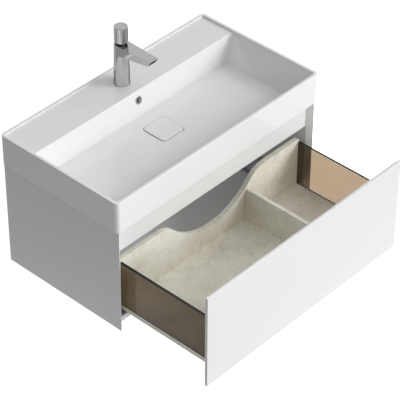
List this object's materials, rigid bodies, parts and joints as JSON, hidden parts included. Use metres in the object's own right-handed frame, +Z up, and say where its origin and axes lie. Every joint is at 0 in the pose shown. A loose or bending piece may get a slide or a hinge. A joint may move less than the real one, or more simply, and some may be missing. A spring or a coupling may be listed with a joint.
{
  "type": "floating washbasin vanity",
  "caption": "Wall-hung vanity: wide ceramic slab basin with deck-mounted tap over a lacquered case with one full-width glass-sided drawer on runners, bottle trap inside.",
  "frame": {"origin": "midway between the two wall screw holes, on the wall plane", "axes": "+X to the right seen from the front, +Y into the wall, +Z up"},
  "size_m": [0.81, 0.784, 0.634],
  "materials": {
    "ceramic": "gloss white glaze",
    "chrome": "polished",
    "brass": "turned",
    "rubber": "matt",
    "black_plastic": "satin",
    "grey_plastic": "satin",
    "orange_plastic": "satin",
    "white_board": "satin white lacquer on board",
    "stone_board": "stone-look board",
    "beech": "raw",
    "steel": "zinc plated",
    "bronze_glass": "clear bronze tint",
    "red_dot": "gloss",
    "blue_dot": "gloss"
  },
  "bodies": {
    "case": {"washbasin": "ceramic", "overflow_ring": "chrome", "waste_flange": "chrome", "waste_washer": "rubber", "waste_nut": "brass", "trap_union_nut": "chrome", "dip_tube": "chrome", "trap_inlet_nut": "chrome", "trap_body": "chrome", "trap_bottle": "chrome", "outlet_nut": "chrome", "outlet_pipe": "chrome", "wall_rosette": "chrome", "tap_body": "chrome", "tap_base_seal": "rubber", "cartridge": "grey_plastic", "neck_ring": "black_plastic", "aerator": "chrome", "tap_shank": "brass", "shank_seal": "rubber", "shank_washer": "steel", "shank_nut": "brass", "side_panel_left": "white_board", "side_panel_right": "white_board", "front_rail": "white_board", "rear_rail": "white_board", "lower_rail": "white_board", "bottom_panel": "white_board", "case_dowels": "beech", "hanger_housings": "grey_plastic", "hanger_hooks": "steel", "wall_plates": "steel", "runner_left": "steel", "runner_right": "steel", "soft_close_units": "grey_plastic", "runner_screws": "steel"},
    "drawer": {"drawer_front": "white_board", "drawer_base": "stone_board", "drawer_back": "stone_board", "drawer_divider": "stone_board", "glass_left": "bronze_glass", "glass_right": "bronze_glass", "glass_seals": "rubber", "glass_strips": "black_plastic", "slider_left": "steel", "slider_right": "steel", "runner_clips": "orange_plastic", "front_brackets": "steel", "drawer_dowels": "beech", "drawer_screws": "steel"},
    "middle_runner_left": {"middle_left": "steel"},
    "middle_runner_right": {"middle_right": "steel"},
    "drain_plug": {"drain_cover": "ceramic", "plug_stem": "chrome", "plug_seal": "rubber"},
    "tap_spindle": {"knob_spindle": "brass"},
    "tap_knob": {"tap_knob": "chrome", "hot_dot": "red_dot", "cold_dot": "blue_dot"}
  },
  "joints": [
    {"name": "drawer_slide", "type": "slide", "parent": "case", "child": "drawer", "axis": [0, -1, 0], "range_m": [-0.307, 0]},
    {"name": "middle_left_slide", "type": "slide", "parent": "case", "child": "middle_runner_left", "axis": [0, -1, 0], "range_m": [-0.1535, 0]},
    {"name": "middle_right_slide", "type": "slide", "parent": "case", "child": "middle_runner_right", "axis": [0, -1, 0], "range_m": [-0.1535, 0]},
    {"name": "drain_press", "type": "slide", "parent": "case", "child": "drain_plug", "axis": [0, 0, 1], "range_m": [-0.006, 0], "stiffness_N_per_m": 800, "springref_m": 0.004},
    {"name": "knob_turn", "type": "hinge", "parent": "case", "child": "tap_spindle", "pos_m": [0, -0.066, 0.3], "axis": [0, 0, 1], "range_deg": [-50, 50]},
    {"name": "knob_press", "type": "slide", "parent": "tap_spindle", "child": "tap_knob", "axis": [0, 0, 1], "range_m": [-0.005, 0], "stiffness_N_per_m": 1500, "springref_m": 0.004}
  ],
  "couplings": [
    {"joint": "middle_left_slide", "follows": "drawer_slide", "ratio": 0.5},
    {"joint": "middle_right_slide", "follows": "drawer_slide", "ratio": 0.5}
  ]
}
